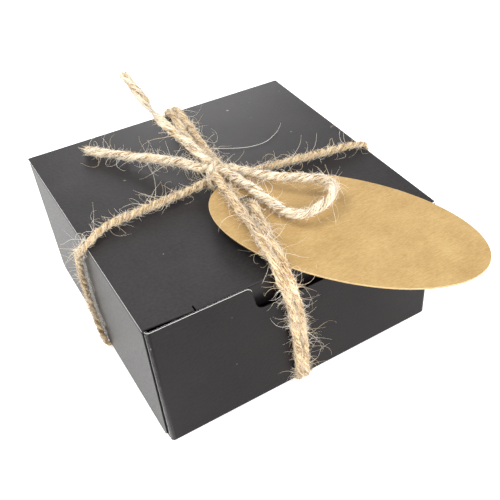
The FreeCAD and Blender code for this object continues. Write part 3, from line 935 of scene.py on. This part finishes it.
def base_run(name, along_x, offset, seed, cross_level, cross_from, cross_to):
    """A run under the box, pressed flat.

    From cross_from to cross_to it crosses other runs, and its middle is at cross_level.
    """
    rng = np.random.default_rng(seed)
    span = (-49.6, -25.0, 0.0, 25.0, 49.6)
    if along_x:
        route = [(distance, offset, FLAT_LEVEL) for distance in span]
    else:
        route = [(offset, distance, FLAT_LEVEL) for distance in span]
    axis = 0 if along_x else 1

    def press(point):
        place = np.array(point)
        run = place[axis] / MM
        under = min(max((FLAT_END - abs(run)) / FADE, 0.0), 1.0)
        entered = max((run - cross_from) / FADE, 0.0)
        crossing = min(entered, max((cross_to - run) / FADE, 0.0), 1.0)
        level = FLAT_LEVEL + (cross_level - FLAT_LEVEL) * crossing
        flat = 1.0 - under * (0.36 + 0.30 * crossing)
        height = place[2] / MM - FLAT_LEVEL
        place[2] = max((level if under else FLAT_LEVEL) + height * flat, 0.02) * MM
        side = 1 - axis
        place[side] = offset * MM + (place[side] - offset * MM) * (1.0 + 0.2 * under)
        return place

    style = look(8.0, 0.40, 1.38)
    strand = Strand(follow(name, route), STEP)
    plies = two_plies(strand, rng, style)
    piece = twine_mesh(name + "_twine", plies, rng, "golden", press)
    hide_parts(name)
    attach(piece, "box")


base_run("base_twine_across", True, 0.0, 51, 0.5, -6.6, 3.6)
base_run("base_twine_along_left", False, -3.42, 52, 1.5, -3.2, 3.2)
base_run("base_twine_along_right", False, 0.36, 53, 1.5, -3.2, 3.2)

# ---- the box and the tag, with softened edges ------------------------------------------


# How far folds and cut edges are rounded.
FOLD_ROUNDING = 0.42 * MM
EDGE_ROUNDING = 0.085 * MM

# Edges are sharp from these angles on, in radians. A rounded fold has none past CUT_ANGLE.
SHARP_ANGLE = 0.6
CUT_ANGLE = 0.9


def sharp_edges(mesh, angle):
    pairs = (edge for edge in mesh.edges if len(edge.link_faces) == 2)
    return [edge for edge in pairs if edge.calc_face_angle(0.0) > angle]


def anywhere(place):
    return True


def soften(node, body, slot, face_material, pale_edge_look, fold=None, pale_edge_at=anywhere):
    """Stand a softened copy in a flat CAD piece's place.

    Its cut edges are worn round, and where the edge picker says so they take the pale edge
    colour, which on the black board is partly its grey core and partly a painted highlight.
    The edges that fold() picks are folds, which are rounded further.
    """
    copy = bmesh.new()
    copy.from_mesh(nodes[node].data)
    bmesh.ops.remove_doubles(copy, verts=copy.verts, dist=1e-6)
    bmesh.ops.dissolve_limit(
        copy, angle_limit=math.radians(1.0), verts=copy.verts, edges=copy.edges
    )
    rounding = {"profile": 0.5, "affect": "EDGES", "clamp_overlap": True}
    folds = [edge for edge in sharp_edges(copy, SHARP_ANGLE) if fold and fold(edge)]
    if folds:
        bmesh.ops.bevel(copy, geom=folds, offset=FOLD_ROUNDING, segments=5, **rounding)
    rounding["material"] = 1
    cut = sharp_edges(copy, CUT_ANGLE)
    bmesh.ops.bevel(copy, geom=cut, offset=EDGE_ROUNDING, segments=2, **rounding)
    for face in copy.faces:
        if face.material_index and not pale_edge_at(face.calc_center_median()):
            face.material_index = 0
    copy.normal_update()
    bmesh.ops.triangulate(copy, faces=copy.faces)
    mesh = bpy.data.meshes.new(node + "_board")
    copy.to_mesh(mesh)
    copy.free()
    mesh.materials.append(face_material)
    mesh.materials.append(pale_edge_look)
    piece = bpy.data.objects.new(node + "_board", mesh)
    bpy.context.scene.collection.objects.link(piece)
    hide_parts(node)
    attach(piece, body)


def lid_fold(edge):
    """The lid's fold to the back wall, and its crease above the tuck flap."""
    a, b = edge.verts[0].co, edge.verts[1].co
    middle = (a + b) / 2
    upper = middle.z > LID_TOP - 0.1 * MM
    lies_along = abs(a.x - b.x) > 30 * MM
    return upper and lies_along


def wall_fold(edge):
    """A side wall's fold to its dust flap."""
    a, b = edge.verts[0].co, edge.verts[1].co
    upper = min(a.z, b.z) > LID_TOP - 1.5 * MM
    outer = min(abs(a.x), abs(b.x)) > HALF_WIDTH - 0.2 * MM
    return upper and outer and abs(a.y - b.y) > 30 * MM


def along_sides(place):
    """The lid's side edges; its front edge and slits stay black."""
    return abs(place.x) > HALF_WIDTH - 0.4 * MM


def rim(place):
    """A wall's upper edge."""
    return place.z > LID_TOP - 2.6 * MM and abs(place.x) < HALF_WIDTH - 0.4 * MM


def below_crease(place):
    """The tuck flap's free edges; its crease stays black."""
    return place.z < LID_TOP - 3 * MM


def away_from_wall(place):
    """A dust flap's free edges; its crease stays black."""
    return abs(place.x) < HALF_WIDTH - 2 * MM


def nowhere(place):
    return False


# Each board's edge picker chooses where its cut edges take the pale edge colour: partly the
# board's grey core, partly a painted highlight.
BOARDS = {
    "base_panel": ("box", {"pale_edge_at": nowhere}),
    "front_wall": ("box", {"pale_edge_at": rim}),
    "back_wall": ("box", {"pale_edge_at": rim}),
    "left_wall": ("box", {"pale_edge_at": rim, "fold": wall_fold}),
    "right_wall": ("box", {"pale_edge_at": rim, "fold": wall_fold}),
    "back_left_glue_tab": ("box", {}),
    "back_right_glue_tab": ("box", {}),
    "front_left_glue_tab": ("box", {}),
    "front_right_glue_tab": ("box", {}),
    "left_dust_flap": ("left_dust", {"pale_edge_at": away_from_wall}),
    "right_dust_flap": ("right_dust", {"pale_edge_at": away_from_wall}),
    "tuck_flap": ("tuck", {"pale_edge_at": below_crease}),
}
# The walls and flaps take the painted shade copy of the board, and the lid takes the
# painted lit copy.
for name, (body, edges) in BOARDS.items():
    soften(name, body, "black_board", SHADED_WALL_BOARD, PALE_EDGE_AND_GLINT, **edges)
soften("lid_panel", "lid", "black_board", LIT_LID_BOARD, PALE_EDGE_AND_GLINT, lid_fold, along_sides)
soften("oval_tag", "tag", "kraft_card", KRAFT, KRAFT_EDGE)

# ---- floor, light and camera -----------------------------------------------------------

# The floor lies this far under the table's height. It is a disc whose far edge curls up,
# so that a low view meets no grey horizon: the radius and height of each of its rings.
FLOOR_GAP = 0.0002
FLOOR_RINGS = ((4.0, 0.0), (4.6, 0.1), (5.1, 0.4), (5.5, 0.9))
FLOOR_SIDES = 64
FLOOR_GLOW = 0.55
SKY = 0.6


def make_floor():
    turns = [2 * math.pi * k / FLOOR_SIDES for k in range(FLOOR_SIDES)]
    vertices = [
        (radius * math.cos(turn), radius * math.sin(turn), height)
        for radius, height in FLOOR_RINGS
        for turn in turns
    ]
    faces = [tuple(range(FLOOR_SIDES))]
    for ring in range(len(FLOOR_RINGS) - 1):
        near, far = ring * FLOOR_SIDES, (ring + 1) * FLOOR_SIDES
        for k in range(FLOOR_SIDES):
            after = (k + 1) % FLOOR_SIDES
            faces.append((near + k, far + k, far + after, near + after))
    mesh = bpy.data.meshes.new("floor")
    mesh.from_pydata(vertices, [], faces)
    shader = Shader("floor_paper", 0.9)
    shader.surface.inputs["Base Color"].default_value = (*grey(0.9), 1.0)
    shader.surface.inputs["Emission Color"].default_value = (*WHITE, 1.0)
    shader.surface.inputs["Emission Strength"].default_value = FLOOR_GLOW
    mesh.materials.append(shader.material)
    floor = bpy.data.objects.new("floor", mesh)
    floor.location.z = -FLOOR_GAP
    bpy.context.scene.collection.objects.link(floor)


def make_light(name, place, size, power, colour=WHITE):
    """A round soft light that points at the box's middle."""
    data = bpy.data.lights.new(name, "AREA")
    data.shape = "DISK"
    data.size = size
    data.energy = power
    data.color = colour
    light = bpy.data.objects.new(name, data)
    light.location = place
    aim = Vector((0.0, 0.0, 0.03)) - Vector(place)
    light.rotation_euler = aim.to_track_quat("-Z", "Y").to_euler()
    bpy.context.scene.collection.objects.link(light)


def make_world():
    world = bpy.data.worlds.new("studio")
    world.use_nodes = True
    background = world.node_tree.nodes["Background"]
    background.inputs["Color"].default_value = (*WHITE, 1.0)
    background.inputs["Strength"].default_value = SKY
    bpy.context.scene.world = world


# The photograph's viewpoint, fitted to the box's corners: its place, its directions in
# degrees, its lens in millimetres, and its framing, which is off centre.
CAMERA_PLACE = (-0.0811, -0.1814, 0.1879)
AZIMUTH, ELEVATION, ROLL = -33.35, 41.85, -0.68
LENS = 51.73
SHIFT = (-0.1422, 0.0272)


def make_camera():
    azimuth, elevation, roll = (math.radians(v) for v in (AZIMUTH, ELEVATION, ROLL))
    back = Vector(
        (
            math.sin(azimuth) * math.cos(elevation),
            -math.cos(azimuth) * math.cos(elevation),
            math.sin(elevation),
        )
    )
    right = (-back).cross(Vector((0, 0, 1))).normalized()
    up = right.cross(-back)
    right, up = (
        right * math.cos(roll) + up * math.sin(roll),
        up * math.cos(roll) - right * math.sin(roll),
    )
    data = bpy.data.cameras.new("camera")
    data.sensor_width = 36.0
    data.lens = LENS
    data.shift_x, data.shift_y = SHIFT
    data.clip_start = 0.01
    data.clip_end = 20.0
    camera = bpy.data.objects.new("camera", data)
    turned = Matrix((right, up, back)).transposed().to_4x4()
    camera.matrix_world = Matrix.Translation(CAMERA_PLACE) @ turned
    bpy.context.scene.collection.objects.link(camera)
    bpy.context.scene.camera = camera


bpy.context.scene.view_settings.view_transform = "Standard"
make_floor()
make_world()
make_light("key", (-0.38, 0.42, 0.95), 0.6, 6.5, (1.0, 0.98, 0.95))
make_light("back", (0.34, 0.86, 0.33), 0.35, 2.7)
make_light("side", (-1.0, 0.10, 0.26), 0.5, 2.2)
make_light("front", (0.15, -0.85, 0.48), 0.6, 8.0)
make_camera()
